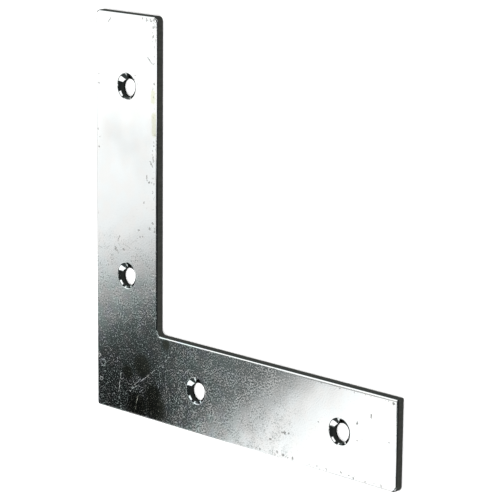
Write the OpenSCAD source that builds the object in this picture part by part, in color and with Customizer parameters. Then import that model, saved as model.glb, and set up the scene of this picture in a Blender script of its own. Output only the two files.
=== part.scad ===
// Flat corner brace: an L stamped from steel sheet, with two countersunk screw holes in each arm.
// The back face lies on Z = 0 and the countersinks open upwards, on the front face.
// The arms' centrelines cross at the origin: one arm runs along +X and the other along +Y.

/* [Arms] */
// Length of each arm, along its outer edge
arm_length = 101.6; // [90:0.1:150]
// Width of each arm
arm_width = 22.2; // [18:0.1:30]
// Thickness of the sheet
thickness = 2; // [1.8:0.1:4]

/* [Corners] */
// Radius of the outer corner, where the arms meet
heel_r = 0.8; // [0.6:0.1:6]
// Radius of the inner corner, where the arms meet
crook_r = 1.3; // [0.6:0.1:6]
// Radius of the corners at the ends of the arms
tip_r = 1.3; // [0.6:0.1:5]
// Radius of the crisper corner, on the inner side of the X arm's end
crisp_tip_r = 0.3; // [0.1:0.1:5]

/* [Edge] */
// Radius of the roll that the stamping leaves round the front face
edge_roll = 0.4; // [0.1:0.05:0.55]

/* [Screw holes] */
// Diameter of the straight part of each hole
hole_d = 4.6; // [4:0.1:5.5]
// Distance from the end of an arm to the hole nearest to it
end_to_hole = 17.8; // [8:0.1:24]
// Distance between the two holes of an arm
hole_spacing = 47.8; // [20:0.1:56]
// How far the punches stood off the arms' centrelines along X, for all four holes
punch_drift_x = -0.15; // [-1:0.05:1]
// How far they stood off along Y
punch_drift_y = -0.85; // [-1:0.05:1]

/* [Countersinks] */
// Diameter of each countersink's rim, before its edge is eased
countersink_d = 6.6; // [6:0.1:8]
// Angle of the countersink's cone, from side to side
countersink_angle = 100; // [80:1:110]
// Radius of the easing round the rim
rim_ease = 0.3; // [0.1:0.05:0.5]
// How far the countersinks' tool stood off the holes' axes along X
sink_drift_x = 0.3; // [-0.4:0.05:0.4]
// How far it stood off along Y
sink_drift_y = 0.55; // [-0.6:0.05:0.6]

/* [Hidden] */
$fn = 64;
// How far a cutter stands clear of the surface that it starts from
clear = 0.2;
half_width = arm_width / 2;
// Outer edges lie at low, the ends at high and the inner edges at mid, along X and along Y
low = -half_width;
mid = half_width;
high = arm_length - half_width;
// The outer hole of each arm, then the inner one
hole_places = [high - end_to_hole, high - end_to_hole - hole_spacing];
// The outline's corners in turn: X, Y, radius, and whether the corner points outwards
corners = [
    [low, low, heel_r, true],
    [high, low, tip_r, true],
    [high, mid, crisp_tip_r, true],
    [mid, mid, crook_r, false],
    [mid, high, tip_r, true],
    [low, high, tip_r, true],
];

// Direction in which the outline leaves corner i, as an angle
function heading(i) =
    let (a = corners[i], b = corners[(i + 1) % len(corners)])
    atan2(b[1] - a[1], b[0] - a[0]);

// What lies between a square corner at the origin and the arc of radius r that rounds it
module spandrel(r) {
    difference() {
        translate([-clear, -clear]) square(r + clear);
        translate([r, r]) circle(r);
    }
}

// The L, with its corners rounded
module outline() {
    difference() {
        union() {
            translate([low, low]) square([arm_length, arm_width]);
            translate([low, low]) square([arm_width, arm_length]);
            translate([mid, mid]) spandrel(crook_r);
        }
        for (i = [0 : len(corners) - 1]) {
            if (corners[i][3]) {
                translate([corners[i][0], corners[i][1]]) rotate(heading(i)) spandrel(corners[i][2]);
            }
        }
    }
}

// Section of what a rolled edge lacks, with the side wall at X = 0 and the metal on its -X side
module roll_section() {
    difference() {
        translate([-edge_roll, thickness - edge_roll]) square(edge_roll + clear);
        translate([-edge_roll, thickness - edge_roll]) circle(edge_roll);
    }
}

// Where the roll along an edge stops short of a corner, or passes it where the corner is too crisp to roll
function setback(corner) = corner[2] > edge_roll ? corner[2] : -clear;

// The roll along the straight edge from corner i to the next
module edge_roll_cut(i) {
    a = corners[i];
    b = corners[(i + 1) % len(corners)];
    run = norm([b[0] - a[0], b[1] - a[1]]) - setback(a) - setback(b);
    translate([a[0], a[1], 0])
        rotate(heading(i))
            translate([setback(a), 0, 0])
                rotate([90, 0, 90]) linear_extrude(run) mirror([1, 0]) roll_section();
}

// The roll round corner i, where an inner corner curves the other way
module corner_roll_cut(i) {
    c = corners[i];
    r = c[2];
    outward = c[3];
    translate([c[0], c[1], 0])
        rotate(heading(i))
            translate([r, outward ? r : -r, 0])
                rotate(outward ? 180 : 90)
                    rotate_extrude(angle = 90)
                        translate([r, 0]) mirror([outward ? 0 : 1, 0]) roll_section();
}

// Cone that opens on the front face, with an arc where it meets the face
module countersink() {
    rim_r = countersink_d / 2;
    half_angle = countersink_angle / 2;
    ease_run = rim_ease / tan(45 + half_angle / 2);
    rotate_extrude()
        difference() {
            polygon([
                [0, thickness + clear],
                [rim_r + ease_run, thickness + clear],
                [rim_r + ease_run, thickness - rim_ease],
                [rim_r - ease_run * sin(half_angle), thickness - ease_run * cos(half_angle)],
                [0, thickness - rim_r / tan(half_angle)],
            ]);
            translate([rim_r + ease_run, thickness - rim_ease]) circle(rim_ease);
        }
}

// Straight hole with its countersink
module screw_hole() {
    translate([0, 0, -clear]) cylinder(h = thickness + 2 * clear, d = hole_d);
    translate([sink_drift_x, sink_drift_y, 0]) countersink();
}

module brace_plate() {
    color([0.78, 0.8, 0.82])
        difference() {
            linear_extrude(thickness) outline();
            for (i = [0 : len(corners) - 1]) {
                edge_roll_cut(i);
                if (corners[i][2] > edge_roll) corner_roll_cut(i);
            }
            translate([punch_drift_x, punch_drift_y, 0])
                for (place = hole_places) {
                    translate([place, 0, 0]) screw_hole();
                    translate([0, place, 0]) screw_hole();
                }
        }
}

brace_plate();
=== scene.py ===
import functools
import math

import bpy
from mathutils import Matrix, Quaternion, Vector


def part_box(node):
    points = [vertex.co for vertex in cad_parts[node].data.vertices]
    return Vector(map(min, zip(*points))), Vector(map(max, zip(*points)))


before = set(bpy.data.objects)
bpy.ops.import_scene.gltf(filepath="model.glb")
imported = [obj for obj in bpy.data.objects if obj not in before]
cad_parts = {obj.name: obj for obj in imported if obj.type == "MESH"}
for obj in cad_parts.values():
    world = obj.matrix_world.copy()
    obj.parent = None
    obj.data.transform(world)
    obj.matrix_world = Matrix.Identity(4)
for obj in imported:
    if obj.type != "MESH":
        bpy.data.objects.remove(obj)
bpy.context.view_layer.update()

MM = 0.001

# The plate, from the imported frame. Its front face is its top.
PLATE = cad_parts["brace_plate"]
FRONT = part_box("brace_plate")[1].z


def towards(azimuth, elevation):
    """Unit vector out of the plate's middle, where azimuth 0 is +X and 90 is +Y."""
    a, e = math.radians(azimuth), math.radians(elevation)
    return Vector((math.cos(a) * math.cos(e), math.sin(a) * math.cos(e), math.sin(e)))


# The camera looks at the front face from the photograph's angle, with the Y arm upright in the picture
CAMERA_AIM = Vector((43.27 * MM, 38.09 * MM, FRONT))
CAMERA_BACK = towards(17.45, 44.22)
CAMERA_DISTANCE = 560.1 * MM
CAMERA_PLACE = CAMERA_AIM + CAMERA_BACK * CAMERA_DISTANCE
CAMERA_ROLL = -101.81
CAMERA_LENS = 170.25
SENSOR_WIDTH = 36.0
CLIP_START = 0.01
CLIP_END = 20.0


class Shader:
    """Short calls for building the nodes of one material or world."""

    # How far a mark is shifted so that it is worked out after the marks before it: too little to see
    NUDGE = 1e-7

    def __init__(self, tree):
        self.tree = tree
        tree.nodes.clear()

    def node(self, kind, **settings):
        """A new node of this kind with these settings."""
        made = self.tree.nodes.new(kind)
        for name, value in settings.items():
            setattr(made, name, value)
        return made

    def put(self, socket, value):
        """Links the value to the socket if it comes out of a node, and otherwise sets it there."""
        if isinstance(value, bpy.types.NodeSocket):
            self.tree.links.new(value, socket)
        else:
            socket.default_value = value

    def math(self, operation, a, b=0.0, clamp=False):
        made = self.node("ShaderNodeMath", operation=operation, use_clamp=clamp)
        self.put(made.inputs[0], a)
        self.put(made.inputs[1], b)
        return made.outputs[0]

    def product(self, *values):
        return functools.reduce(lambda a, b: self.math("MULTIPLY", a, b), values)

    def most(self, *values):
        """The largest of the values."""
        return functools.reduce(lambda a, b: self.math("MAXIMUM", a, b), values)

    def step(self, value, start, end, low=0.0, high=1.0):
        """Goes smoothly from low to high while value goes from start to end."""
        made = self.node("ShaderNodeMapRange", interpolation_type="SMOOTHSTEP")
        self.put(made.inputs["Value"], value)
        self.put(made.inputs["From Min"], start)
        self.put(made.inputs["From Max"], end)
        self.put(made.inputs["To Min"], low)
        self.put(made.inputs["To Max"], high)
        return made.outputs["Result"]

    def between(self, value, start, end, edge):
        """1 from start to end and 0 outside, with soft ends this wide."""
        rise = self.step(value, start - edge, start + edge)
        return self.product(rise, self.step(value, end + edge, end - edge))

    def fade(self, share, a, b):
        """The number a where share is 0, and b where it is 1."""
        made = self.node("ShaderNodeMix", data_type="FLOAT", clamp_factor=True)
        self.put(made.inputs["Factor"], share)
        self.put(made.inputs["A"], a)
        self.put(made.inputs["B"], b)
        return made.outputs["Result"]

    def mix(self, share, a, b):
        """The colour a where share is 0, and b where it is 1."""
        made = self.node("ShaderNodeMix", data_type="RGBA", clamp_factor=True)
        self.put(made.inputs["Factor"], share)
        self.put(made.inputs["A"], a)
        self.put(made.inputs["B"], b)
        return made.outputs["Result"]

    def tint(self, colour, share, tint):
        """The colour with a tint over it: a second colour, and how much of that shows where share is 1."""
        tint_colour, strength = tint
        return self.mix(self.product(share, strength), colour, tint_colour)

    def vector(self, operation, a, b=(0.0, 0.0, 0.0)):
        made = self.node("ShaderNodeVectorMath", operation=operation)
        self.put(made.inputs[0], a)
        self.put(made.inputs["Scale" if operation == "SCALE" else 1], b)
        number = operation in ("DISTANCE", "LENGTH", "DOT_PRODUCT")
        return made.outputs["Value" if number else "Vector"]

    def split(self, vector):
        """The vector's X, Y and Z."""
        made = self.node("ShaderNodeSeparateXYZ")
        self.put(made.inputs[0], vector)
        return made.outputs

    def after(self, total, place):
        """The same place, but worked out only after the total, so that many marks fit the shader's memory."""
        if isinstance(total, float):
            return place
        return self.vector("ADD", place, self.vector("SCALE", (self.NUDGE, self.NUDGE, 0.0), total))

    def spots(self, place, spots, soft):
        """1 inside any of these round spots, each an X, a Y and a radius. Soft is the edge's share of it."""
        total = 0.0
        for x, y, radius in spots:
            away = self.vector("DISTANCE", self.after(total, place), (x, y, 0.0))
            total = self.most(total, self.step(away, radius * (1 + soft), radius * (1 - soft)))
        return total

    def rings(self, place, rings, width):
        """1 on any of these rings, each an X, a Y and a radius."""
        total = 0.0
        for x, y, radius in rings:
            away = self.vector("DISTANCE", self.after(total, place), (x, y, 0.0))
            off = self.math("ABSOLUTE", self.math("SUBTRACT", away, radius))
            total = self.most(total, self.step(off, width, 0.0))
        return total

    def strokes(self, place, strokes, width):
        """1 along any of these straight strokes, each from an X and Y to another X and Y."""
        total = 0.0
        for x0, y0, x1, y1 in strokes:
            run = Vector((x1 - x0, y1 - y0, 0.0))
            out = self.vector("SUBTRACT", self.after(total, place), (x0, y0, 0.0))
            share = self.vector("DOT_PRODUCT", out, run)
            share = self.math("DIVIDE", share, run.length_squared, clamp=True)
            along = self.vector("SCALE", run, share)
            away = self.vector("LENGTH", self.vector("SUBTRACT", out, along))
            total = self.most(total, self.step(away, width, width * 0.3))
        return total

    def bands(self, across, along, bands):
        """1 in any of these bands: from, to and soft edge across it, and then the same along it."""
        return self.most(*[
            self.product(self.between(across, *band[:3]), self.between(along, *band[3:])) for band in bands
        ])

    def noise(self, place, size, detail=2.0, rough=0.5, stretch=(1.0, 1.0, 1.0), output="Fac"):
        """Noise whose features are about this size, in the units of the place."""
        mapping = self.node("ShaderNodeMapping")
        self.put(mapping.inputs["Vector"], place)
        mapping.inputs["Scale"].default_value = [share / size for share in stretch]
        made = self.node("ShaderNodeTexNoise")
        self.put(made.inputs["Vector"], mapping.outputs["Vector"])
        made.inputs["Scale"].default_value = 1.0
        made.inputs["Detail"].default_value = detail
        made.inputs["Roughness"].default_value = rough
        return made.outputs[output]


# Marks on the front face. Places and sizes are in millimetres, as in the plate's own frame.
HOLES = [(72.55, -0.85), (24.75, -0.85), (-0.15, 71.85), (-0.15, 24.05)]
# A wall within this radius of a hole's axis is the hole's own
BORE_REACH = 2.6
# How far the outlines of the marks below are shaken
SHAKE = 0.9
# Smooth dark patches round the heel, partly stain and partly painted shade standing in for the dark
# reflection over the corner: X, Y and radius
HEEL_STAIN_AND_SHADE_SPOTS = [
    (5.7, 2.2, 2.8), (9.7, -4.5, 2.6), (4.0, -8.4, 3.2),
    (10.5, -7.6, 3.4), (0.5, -0.4, 1.8), (14.4, 9.3, 1.2),
]
# Yellowed plating along the Y arm's inner edge: X and Y at both ends
YELLOWED = [(9.7, 71.8, 9.6, 69.8), (10.0, 66.2, 10.0, 61.8)]
YELLOWED_WIDTH = 1.2
# Dried drops near the outer edge: X, Y and radius
DROPS = [(-8.9, 0.4, 0.85), (-9.5, -4.0, 0.5), (-10.2, 2.2, 0.45)]
DROP_RIM = 0.22
# Pale hairline scratches: X and Y at both ends
HAIRLINES = [
    (-0.2, -6.3, 7.9, 0.2),
    (7.9, 0.2, 14.8, 5.3),
    (12.3, 2.2, 16.6, 8.0),
    (1.6, -4.3, 5.3, -1.2),
    (-2.1, -0.9, -2.9, -6.3),
    (-2.9, -6.3, -2.1, -10.6),
    (20.5, 2.6, 23.0, 5.1),
    (3.1, -9.8, 4.2, -5.9),
    (28.3, 5.2, 30.7, 8.2),
]
HAIRLINE_WIDTH = 0.13
# Dark scratches and rub marks: X and Y at both ends
RUBS = [
    (-5.6, 88.9, -6.4, 87.8),
    (7.9, 80.3, 8.5, 79.6),
    (8.5, 79.6, 10.0, 78.7),
    (8.7, 54.6, 9.6, 53.4),
    (9.7, 56.0, 9.8, 54.8),
    (7.5, 51.0, 7.6, 49.7),
    (54.5, -4.5, 55.2, -4.2),
    (82.5, 5.8, 82.7, 5.1),
    (-3.1, 32.9, -2.4, 34.3),
    (-4.2, 30.6, -3.3, 30.3),
]
RUB_WIDTH = 0.22
# Dark pits: X, Y and radius
PITS = [
    (3.2, 75.4, 0.2), (3.0, 74.5, 0.15), (-10.0, 74.5, 0.2), (-10.0, 72.2, 0.2), (4.3, 73.4, 0.15),
    (10.2, 74.0, 0.35), (10.0, 59.5, 0.2), (10.0, 58.7, 0.25), (9.5, 57.5, 0.2), (9.5, 56.5, 0.15),
    (8.3, 49.4, 0.3), (9.3, 49.5, 0.2), (6.5, 44.0, 0.25), (-9.9, 56.0, 0.25), (-9.7, 58.6, 0.15),
    (-10.4, 60.5, 0.25), (4.6, 36.8, 0.25), (5.0, 35.1, 0.2), (6.1, 35.3, 0.25), (9.7, 39.2, 0.3),
    (8.6, 37.8, 0.3), (10.3, 37.3, 0.3), (-3.9, 31.0, 0.35), (-0.9, 31.0, 0.3), (50.7, -6.9, 0.3),
    (55.3, -4.3, 0.4), (56.6, -4.1, 0.25), (52.9, -9.6, 0.3), (54.9, -9.9, 0.35), (58.0, -10.1, 0.3),
    (89.2, 9.9, 0.35), (78.3, 3.0, 0.25), (78.4, -1.2, 0.2), (66.1, 0.6, 0.15), (88.1, 0.5, 0.2),
    (73.6, -10.0, 0.25), (77.4, -10.4, 0.25), (81.1, -10.4, 0.2), (86.0, -10.4, 0.2), (79.9, -0.5, 0.15),
]
# Rows of knocks that run along Y, on the Y arm's inner and outer edge: X from and to and how soft the sides
# are, and then Y from and to and how soft the ends are. A row that goes to 95 or more ends past the plate.
KNOCKS_ALONG_Y = [(9.4, 10.7, 0.3, 16.0, 95.0, 4.0), (-11.0, -10.3, 0.15, 8.0, 40.0, 3.0)]
# Rows that run along X, with Y first: at the Y arm's end, and on the X arm's outer and inner edge
KNOCKS_ALONG_X = [
    (89.0, 90.0, 0.15, 2.5, 10.5, 0.5),
    (-10.7, -9.9, 0.1, 40.0, 95.0, 4.0),
    (10.1, 10.6, 0.1, 51.0, 96.0, 5.0),
]
# The knocks lie closer and closer between these places, along X and along Y. There their noise is raised, by
# this at the most.
CLOSER_X = (1.0, 9.0)
CLOSER_Y = (80.0, 89.0)
CLOSER = 0.12
# A thin dark line along the top of the roll, on the outer half of the X arm's inner edge, with Y first
CREST_LINE = [(10.42, 10.66, 0.08, 53.0, 97.0, 5.0)]

# The two colours that the plating wanders between
ZINC = (0.81, 0.84, 0.84, 1.0)
ZINC_GREY = (0.82, 0.83, 0.82, 1.0)
# What is laid over them: a colour, and how much of it shows at the most
TEAL = ((0.75, 0.85, 0.83, 1.0), 1.0)
VIOLET = ((0.74, 0.76, 0.88, 1.0), 0.4)
PORE = ((0.26, 0.3, 0.29, 1.0), 0.65)
# Colour of the heel patches: a yellowish stain, and partly painted shade for the dark reflection over the
# corner
STAIN_AND_PAINTED_SHADE = ((0.6, 0.6, 0.48, 1.0), 0.8)
YELLOW = ((0.6, 0.61, 0.42, 1.0), 0.6)
CLOUD = ((0.4, 0.4, 0.39, 1.0), 0.36)
MARK = ((0.3, 0.29, 0.27, 1.0), 0.55)
# The teal and violet patches round the heel are gone at the first of these places, and full at the second
HEEL_X = (50.0, 20.0)
HEEL_Y = (34.0, 14.0)
# The cloud lies across the Y arm: from and to along Y, and how soft its ends are
CLOUD_Y = (54.0, 66.0, 9.0)
# Colours of the sheared walls, in their dark and pale streaks, and of the holes' walls
SIDE_DARK = (0.3, 0.29, 0.26, 1.0)
SIDE_PALE = (0.66, 0.63, 0.58, 1.0)
BORE = (0.2, 0.2, 0.19, 1.0)
BORE_BROKEN = (0.1, 0.1, 0.09, 1.0)

# A surface turns into a wall as its normal's Z falls from the first of these to the second
WALL_TURN = (0.35, 0.1)
# and into the front face as it rises from the first of these to the second
FRONT_TURN = (0.97, 0.99)

# Roughness of the bare plating, in the heel's patches of stain and painted shade too, and what the dull
# grains add to it
FACE_ROUGH = 0.06
STAIN_AND_SHADE_ROUGH = 0.045
GRAIN_ADDS = 0.095
PALE_MARK_ROUGH = 0.21
DARK_MARK_ROUGH = 0.3
SIDE_ROUGH = 0.4
BORE_ROUGH = 0.12
BORE_BROKEN_ROUGH = 0.5
# Heights in millimetres
WAVE_HEIGHT = 0.014
GRAIN_HEIGHT = 0.0018
MARK_DEPTH = 0.004
# Fine noise above the grain level is a grain, and below the pore level a pore. Each level is given where few
# lie, and where many lie.
GRAIN_LEVEL = (0.66, 0.5)
PORE_LEVEL = (0.22, 0.47)
# Where they thicken along each arm, and from and to which share
THICKEN_X = (8.0, 24.0, 0.5, 1.0)
THICKEN_Y = (8.0, 16.0, 0.5, 0.9)
# Farther along each arm they are gone at the first of these places, and full at the second
DIE_OUT_X = (66.0, 52.0)
DIE_OUT_Y = (44.0, 28.0)
# Height of the line below which the sheared walls are broken off, and how far it wanders up
BREAK_HEIGHT = 0.3
BREAK_WANDER = 0.4


def grains_and_pores(s, flat, x, y, stain_and_painted_shade, fine_noise):
    """Dull grains and dark pores, thickest along the middle of the X arm and thinnest in the heel's patches
    of stain and painted shade.
    """
    cluster = s.step(s.noise(flat, size=3.5, detail=3.0, rough=0.6), 0.35, 0.65)
    thick = s.most(s.step(x, *THICKEN_X), s.step(y, *THICKEN_Y))
    thick = s.product(thick, s.step(x, *DIE_OUT_X), s.step(y, *DIE_OUT_Y))
    thick = s.product(thick, s.step(cluster, 0.0, 1.0, 0.5, 1.0), s.step(stain_and_painted_shade, 0.0, 1.0, 1.0, 0.25))
    grains = s.step(s.math("SUBTRACT", fine_noise, s.fade(thick, *GRAIN_LEVEL)), -0.03, 0.08)
    pores = s.step(s.math("SUBTRACT", s.fade(thick, *PORE_LEVEL), fine_noise), -0.01, 0.05)
    return grains, pores


def pale_marks(s, flat, drawn):
    """Hairline scratches with gaps in them, and the rims of dried drops."""
    hair = s.strokes(drawn, HAIRLINES, HAIRLINE_WIDTH)
    hair = s.product(hair, s.step(s.noise(flat, size=1.1, detail=1.0), 0.38, 0.54))
    return s.most(hair, s.rings(drawn, DROPS, DROP_RIM))


def dark_marks(s, flat, drawn, x, y):
    """Rubs, pits and rows of knocks, which lie closest at the inner corner of the Y arm's end."""
    rubs = s.most(s.strokes(drawn, RUBS, RUB_WIDTH), s.spots(drawn, PITS, soft=0.5))
    closer = s.product(s.step(x, *CLOSER_X), s.step(y, *CLOSER_Y), CLOSER)
    chips = s.noise(flat, size=0.7, rough=0.7, stretch=(1.0, 0.6, 1.0))
    chips = s.step(s.math("ADD", chips, closer), 0.6, 0.68)
    knocks = s.most(s.bands(x, y, KNOCKS_ALONG_Y), s.bands(y, x, KNOCKS_ALONG_X))
    line = s.product(s.bands(y, x, CREST_LINE), s.step(chips, 0.0, 1.0, 0.75, 1.0))
    return s.most(rubs, s.product(knocks, chips), line)


def face_colour(s, flat, drawn, x, y, front, stain_and_painted_shade, pores, dark):
    """Colour of the front face: blue-white zinc with tints round the heel, a yellowish stain and painted
    shade at the heel, a grey cloud and marks.
    """
    heel = s.product(s.step(x, *HEEL_X), s.step(y, *HEEL_Y))
    hue = s.noise(flat, size=5.0)
    colour = s.mix(s.step(hue, 0.4, 0.62), ZINC, ZINC_GREY)
    colour = s.tint(colour, s.product(heel, s.step(hue, 0.6, 0.4)), TEAL)
    violet = s.step(s.noise(flat, size=4.0, detail=1.0), 0.52, 0.66)
    colour = s.tint(colour, s.product(violet, heel), VIOLET)
    colour = s.tint(colour, s.product(pores, front), PORE)
    # Painted shade at the heel, standing in for the dark reflection over the corner, with a yellowish stain
    # tint
    colour = s.tint(colour, stain_and_painted_shade, STAIN_AND_PAINTED_SHADE)
    yellow = s.strokes(drawn, YELLOWED, YELLOWED_WIDTH)
    colour = s.tint(colour, s.product(yellow, front), YELLOW)
    cloud = s.step(s.noise(flat, size=9.0, detail=1.0), 0.2, 0.7)
    colour = s.tint(colour, s.product(cloud, s.between(y, *CLOUD_Y), front), CLOUD)
    return s.tint(colour, dark, MARK)


def zinc_material():
    """Bright zinc plating with a fine dull grain, stains, painted shade at the heel and rub marks, and dull
    sheared side walls.
    """
    material = bpy.data.materials.new("zinc_plating")
    material.use_nodes = True
    s = Shader(material.node_tree)
    coordinates = s.node("ShaderNodeTexCoord")
    place = s.vector("SCALE", coordinates.outputs["Object"], 1 / MM)
    x, y, z = s.split(place)
    normal = s.split(coordinates.outputs["Normal"])
    wall = s.step(s.math("ABSOLUTE", normal["Z"]), *WALL_TURN)
    front = s.step(normal["Z"], *FRONT_TURN)

    # Places as seen from above, and the same a little shaken, so that no mark is drawn dead straight
    flat = s.vector("MULTIPLY", place, (1.0, 1.0, 0.0))
    wobble = s.vector("SUBTRACT", s.noise(flat, size=0.6, output="Color"), (0.5, 0.5, 0.5))
    drawn = s.vector("ADD", flat, s.vector("SCALE", wobble, SHAKE))
    drawn = s.vector("MULTIPLY", drawn, (1.0, 1.0, 0.0))
    near_hole = s.spots(flat, [(*hole, BORE_REACH) for hole in HOLES], soft=0.1)

    # Patches round the heel: partly stain, partly painted shade for the dark reflection over the corner
    stain_and_painted_shade = s.product(s.spots(drawn, HEEL_STAIN_AND_SHADE_SPOTS, soft=0.4), front)
    fine_noise = s.noise(flat, size=0.4, detail=1.5, rough=0.6)
    grains, pores = grains_and_pores(s, flat, x, y, stain_and_painted_shade, fine_noise)
    pale = s.product(pale_marks(s, flat, drawn), front)
    dark = s.product(dark_marks(s, flat, drawn, x, y), front)
    colour = face_colour(s, flat, drawn, x, y, front, stain_and_painted_shade, pores, dark)

    # The sheared walls are dull, and broken off rough below; the holes' walls shine down to the break
    wander = s.product(s.noise(flat, size=1.2), BREAK_WANDER)
    above_break = s.math("SUBTRACT", z, s.math("ADD", BREAK_HEIGHT, wander))
    broken_off = s.step(above_break, 0.08, -0.08)
    streaks = s.noise(place, size=0.5, detail=3.0, rough=0.6, stretch=(1.0, 1.0, 0.25))
    side_colour = s.mix(streaks, SIDE_DARK, SIDE_PALE)
    bore_colour = s.mix(broken_off, BORE, BORE_BROKEN)
    colour = s.mix(wall, colour, s.mix(near_hole, side_colour, bore_colour))

    face_rough = s.math("ADD", s.fade(stain_and_painted_shade, FACE_ROUGH, STAIN_AND_SHADE_ROUGH), s.product(grains, GRAIN_ADDS))
    face_rough = s.most(face_rough, s.product(pale, PALE_MARK_ROUGH), s.product(dark, DARK_MARK_ROUGH))
    bore_rough = s.fade(broken_off, BORE_ROUGH, BORE_BROKEN_ROUGH)
    rough = s.fade(wall, face_rough, s.fade(near_hole, SIDE_ROUGH, bore_rough))

    # Height in millimetres: the sheet's waves, its fine grain and the dark marks
    waves = s.product(s.noise(flat, size=9.0, detail=1.0), WAVE_HEIGHT)
    height = s.math("ADD", waves, s.product(fine_noise, GRAIN_HEIGHT))
    height = s.math("SUBTRACT", height, s.product(dark, MARK_DEPTH))
    bump = s.node("ShaderNodeBump")
    bump.inputs["Strength"].default_value = 1.0
    bump.inputs["Distance"].default_value = MM
    s.put(bump.inputs["Height"], height)

    shader = s.node("ShaderNodeBsdfPrincipled")
    shader.inputs["Metallic"].default_value = 1.0
    s.put(shader.inputs["Base Color"], colour)
    s.put(shader.inputs["Roughness"], rough)
    s.put(shader.inputs["Normal"], bump.outputs["Normal"])
    output = s.node("ShaderNodeOutputMaterial")
    s.put(output.inputs["Surface"], shader.outputs[0])
    return material


# The floor: how wide it is, how far it lies under the plate, and how white it is
FLOOR_WIDTH = 6.0
FLOOR_GAP = 0.02 * MM
FLOOR_WHITE = 0.9


def floor():
    """A plain pale floor just under the plate, which the metal doesn't mirror."""
    bpy.ops.mesh.primitive_plane_add(size=FLOOR_WIDTH, location=(0, 0, -FLOOR_GAP))
    made = bpy.context.active_object
    made.name = "floor"
    made.visible_glossy = False
    material = bpy.data.materials.new("floor_paint")
    material.use_nodes = True
    shader = material.node_tree.nodes["Principled BSDF"]
    shader.inputs["Base Color"].default_value = (FLOOR_WHITE, FLOOR_WHITE, FLOOR_WHITE, 1.0)
    shader.inputs["Roughness"].default_value = 0.9
    shader.inputs["Specular IOR Level"].default_value = 0.0
    made.data.materials.append(material)


def soft_light(name, azimuth, elevation, distance, size, power):
    """A square area light that shines on the plate's middle and doesn't show in the metal."""
    data = bpy.data.lights.new(name, "AREA")
    data.size = size
    data.energy = power
    made = bpy.data.objects.new(name, data)
    bpy.context.scene.collection.objects.link(made)
    made.location = CAMERA_AIM + towards(azimuth, elevation) * distance
    made.rotation_mode = "QUATERNION"
    made.rotation_quaternion = (CAMERA_AIM - made.location).to_track_quat("-Z", "Y")
    made.visible_glossy = False


# The studio as the metal mirrors it, with azimuths and elevations in degrees. Brightness 1 mirrors as white.
DARK = 0.02
WHITE = 1.4
# Panels with firm edges: azimuth from and to, elevation from and to, and how bright they are
PANELS = [
    (264, 303, 20, 50, WHITE),
    (52, 98, 37, 58, WHITE),
    (124, 166, 27, 48, WHITE),
    (180, 195, -20, 38, 0.55),
    (196, 201, -20, 38, WHITE),
    (221, 232, -9, 3, WHITE),
    (102, 150, -5, 33, 0.12),
    (203, 262, -5, 30, 0.05),
    # Dimmer ones, for a look from the other sides
    (2, 50, -2, 42, 0.4),
    (304, 336, -2, 42, 0.4),
]
PANEL_EDGE = 1.0
# The low panel that the rolled lower edge of the X arm mirrors, from the inner X hole outwards: azimuth from
# and to, and elevation from and to
LOW_PANEL = (203, 262, -32, 36)
# Which part of it is there, by the way's X: from, to and soft edge. Then where it dims, and from and to what.
LOW_PANEL_X = (-0.675, -0.6, 0.01)
LOW_PANEL_DIMS = (-0.66, -0.64, WHITE, 0.8)
# The dark parts of the studio are slightly teal
DARK_TINT = (0.87, 1.0, 0.98, 1.0)
NO_TINT = (1.0, 1.0, 1.0, 1.0)
# The ceiling ends this high above the horizon: in the west, and in the east
CEILING_EDGE = (36.0, 62.0)
# What lies far below the horizon is a little brighter: elevation from and to, and brightness from and to
UNDERGROUND = (-15.0, -35.0, DARK, 0.11)
# The dark part of the ceiling lies over the corner. Its borders slant, across the Y arm and across the X arm.
UP_SLANT = 0.46
ALONG_SLANT = 1.38
# Where it brightens along each arm, in millimetres on the plate, and up to which share of full brightness
UP_BRIGHTENS = (8.0, 42.0, 0.0, 0.9)
ALONG_BRIGHTENS = (37.0, 60.0, 0.0, 0.88)
CEILING_BRIGHT = 1.15
# Where it gains a little more towards the arms' ends
UP_END = (40.0, 75.0)
ALONG_END = (58.0, 80.0)
ENDS_ADD = 0.3
# A faint light in the dark part, along Y and along X: millimetres from and to, and brightness from and to
FAINT_Y = (-5.0, 9.0, 0.005, 0.04)
FAINT_X = (8.0, 32.0, 0.0, 0.1)
# The face mirrors the ceiling up to here in the way's X. Above that the rolled edges look, and two bands are
# white there: from and to in the way's Y, and soft edge.
FACE_ENDS = (-0.6, -0.57)
ROLL_BANDS = [(-0.17, -0.12, 0.01), (-0.32, -0.287, 0.005)]


def ceiling(s, way):
    """The ceiling that the front face mirrors, laid out by where on the plate the camera sees it.

    The way is the direction in which the studio is looked at.
    """
    reach = (CAMERA_PLACE.z - FRONT) / MM
    upwards = s.most(way["Z"], 0.2)
    x = s.math("ADD", s.product(s.math("DIVIDE", way["X"], upwards), reach), CAMERA_PLACE.x / MM)
    y = s.math("ADD", s.product(s.math("DIVIDE", way["Y"], upwards), reach), CAMERA_PLACE.y / MM)
    up_arm = s.math("SUBTRACT", y, s.product(x, UP_SLANT))
    along_arm = s.math("SUBTRACT", x, s.product(y, ALONG_SLANT))
    faint = s.math("ADD", s.step(y, *FAINT_Y), s.step(x, *FAINT_X))
    not_up = s.math("SUBTRACT", 1.0, s.step(up_arm, *UP_BRIGHTENS))
    not_along = s.math("SUBTRACT", 1.0, s.step(along_arm, *ALONG_BRIGHTENS))
    bright = s.math("SUBTRACT", 1.0, s.product(not_up, not_along))
    face = s.math("ADD", s.product(bright, CEILING_BRIGHT), faint)
    ends = s.most(s.step(up_arm, *UP_END), s.step(along_arm, *ALONG_END))
    face = s.math("ADD", face, s.product(ends, ENDS_ADD))
    bands = s.most(*[s.between(way["Y"], *band) for band in ROLL_BANDS])
    above = s.math("ADD", s.product(bands, WHITE), DARK)
    return s.fade(s.step(way["X"], *FACE_ENDS), face, above)


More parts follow.
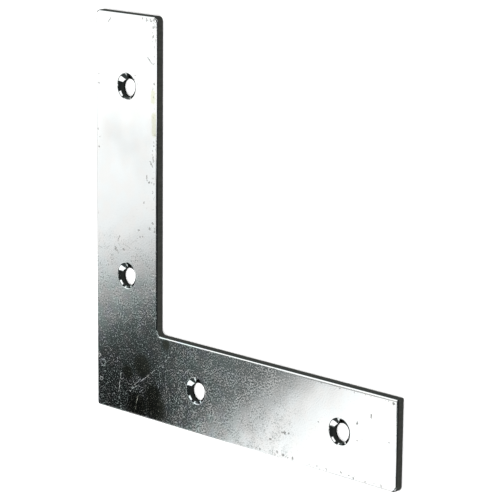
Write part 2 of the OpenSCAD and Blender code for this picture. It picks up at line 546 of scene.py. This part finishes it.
def panel(s, azimuth, elevation, az_from, az_to, el_from, el_to):
    """1 on the panel between these azimuths and these elevations."""
    across = s.between(azimuth, az_from, az_to, PANEL_EDGE)
    return s.product(across, s.between(elevation, el_from, el_to, PANEL_EDGE))


def studio_world():
    """The studio round the plate: a ceiling, panels and the dark between them."""
    world = bpy.data.worlds.new("studio")
    world.use_nodes = True
    bpy.context.scene.world = world
    s = Shader(world.node_tree)
    way = s.split(s.node("ShaderNodeTexCoord").outputs["Generated"])
    azimuth = s.math("WRAP", s.math("DEGREES", s.math("ARCTAN2", way["Y"], way["X"])), 360.0)
    elevation = s.math("DEGREES", s.math("ARCSINE", way["Z"]))

    over_edge = s.math("SUBTRACT", elevation, s.step(way["X"], -0.2, 0.2, *CEILING_EDGE))
    below = s.step(elevation, *UNDERGROUND)
    light = s.fade(s.step(over_edge, -1.5, 1.5), below, ceiling(s, way))
    for *sides, bright in PANELS:
        light = s.most(light, s.product(panel(s, azimuth, elevation, *sides), bright))
    low_panel = s.product(panel(s, azimuth, elevation, *LOW_PANEL), s.between(way["X"], *LOW_PANEL_X))
    light = s.most(light, s.product(low_panel, s.step(way["X"], *LOW_PANEL_DIMS)))

    background = s.node("ShaderNodeBackground")
    s.put(background.inputs["Color"], s.mix(s.step(light, 0.0, 0.5), DARK_TINT, NO_TINT))
    s.put(background.inputs["Strength"], light)
    output = s.node("ShaderNodeOutputWorld")
    s.put(output.inputs["Surface"], background.outputs[0])


def camera():
    data = bpy.data.cameras.new("camera")
    data.sensor_width = SENSOR_WIDTH
    data.lens = CAMERA_LENS
    data.clip_start = CLIP_START
    data.clip_end = CLIP_END
    made = bpy.data.objects.new("camera", data)
    bpy.context.scene.collection.objects.link(made)
    made.location = CAMERA_PLACE
    made.rotation_mode = "QUATERNION"
    roll = Quaternion((0, 0, 1), math.radians(CAMERA_ROLL))
    made.rotation_quaternion = (-CAMERA_BACK).to_track_quat("-Z", "Y") @ roll
    bpy.context.scene.camera = made


PLATE.data.materials.clear()
PLATE.data.materials.append(zinc_material())
camera()
floor()
soft_light("overhead", azimuth=0, elevation=90, distance=0.9, size=1.2, power=17.0)
studio_world()
bpy.context.scene.view_settings.view_transform = "Standard"
